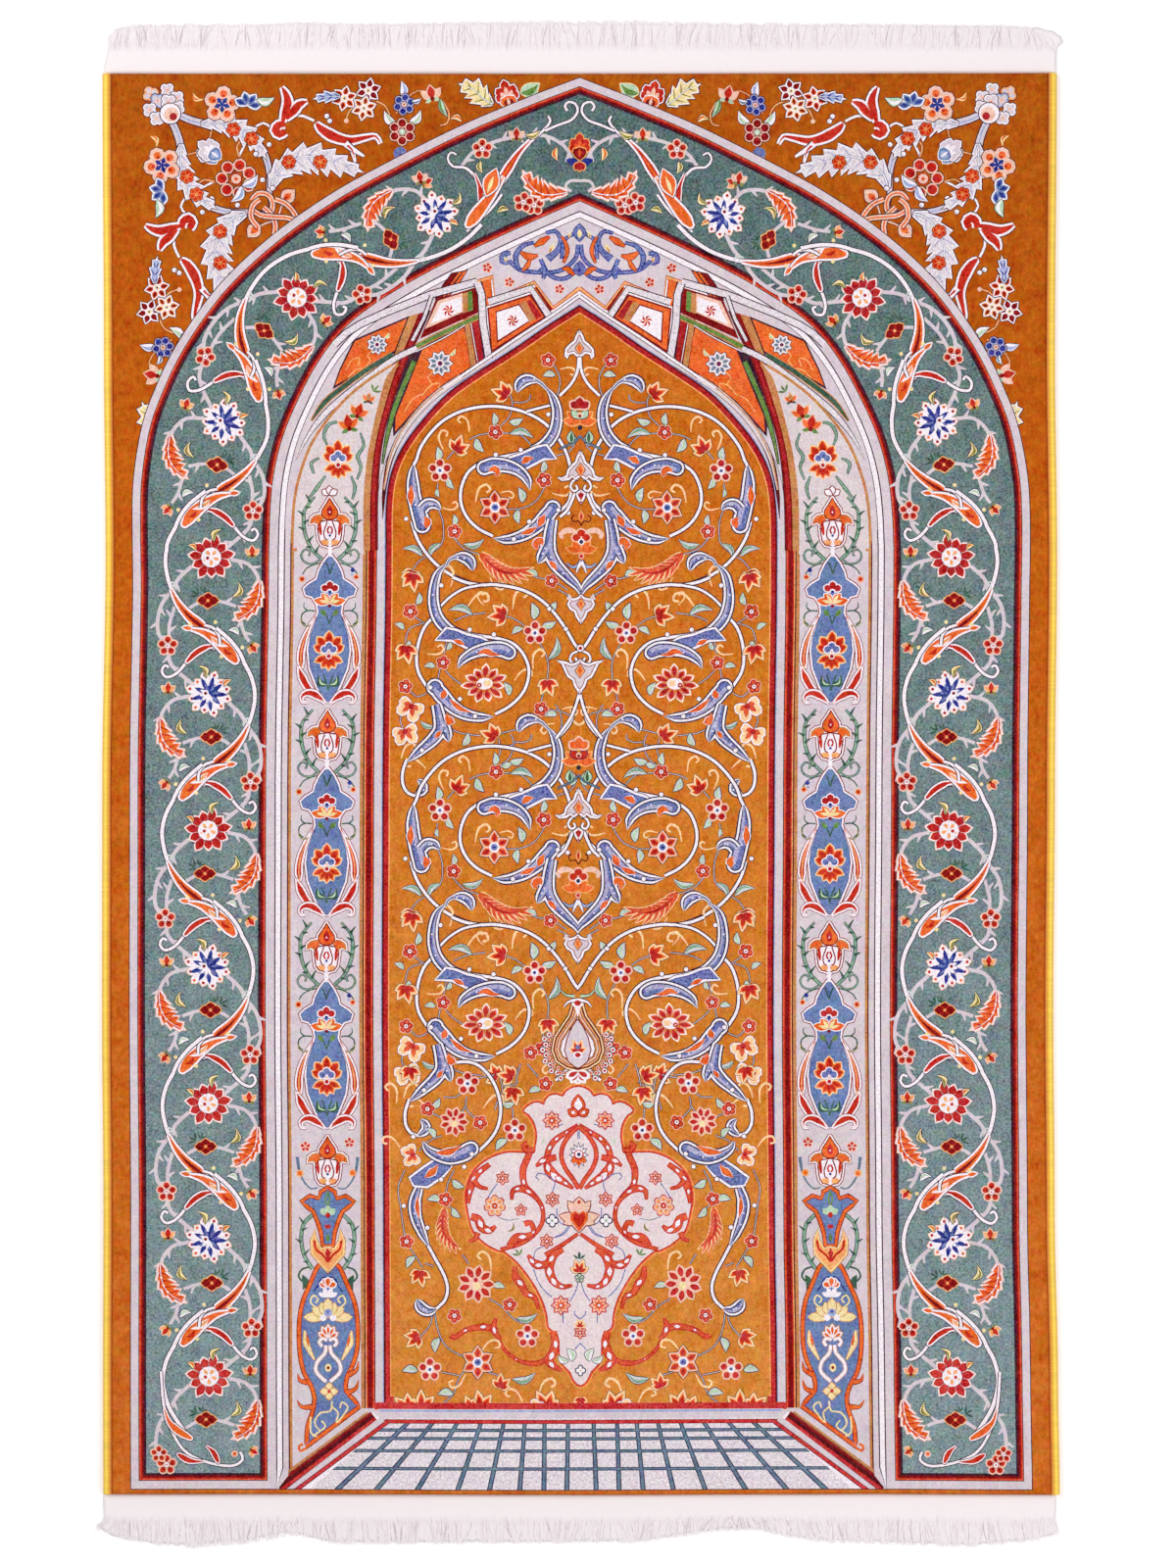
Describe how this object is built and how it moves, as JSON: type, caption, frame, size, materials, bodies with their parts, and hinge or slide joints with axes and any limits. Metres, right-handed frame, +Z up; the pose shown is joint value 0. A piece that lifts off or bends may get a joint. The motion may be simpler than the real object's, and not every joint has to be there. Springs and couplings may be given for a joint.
{
  "type": "prayer rug",
  "caption": "Flat pile prayer rug with a pointed niche design, overcast sides and a white fringe at each end; it lies on a floor to kneel on.",
  "frame": {"origin": "middle of the rug's underside, on the floor", "axes": "+Z up out of the pile, +Y along the rug towards the point of the niche, +X to the right when the niche points away"},
  "size_m": [0.8122, 1.279, 0.0075],
  "materials": {
    "pile": "dense cut pile with a silky sheen, amber ground",
    "binding_yarn": "glossy yellow overcast yarn",
    "fringe_cotton": "matt white cotton, combed out"
  },
  "bodies": {
    "root": {"rug": "pile", "binding_left": "binding_yarn", "binding_right": "binding_yarn", "fringe_top": "fringe_cotton", "fringe_bottom": "fringe_cotton"}
  },
  "joints": []
}
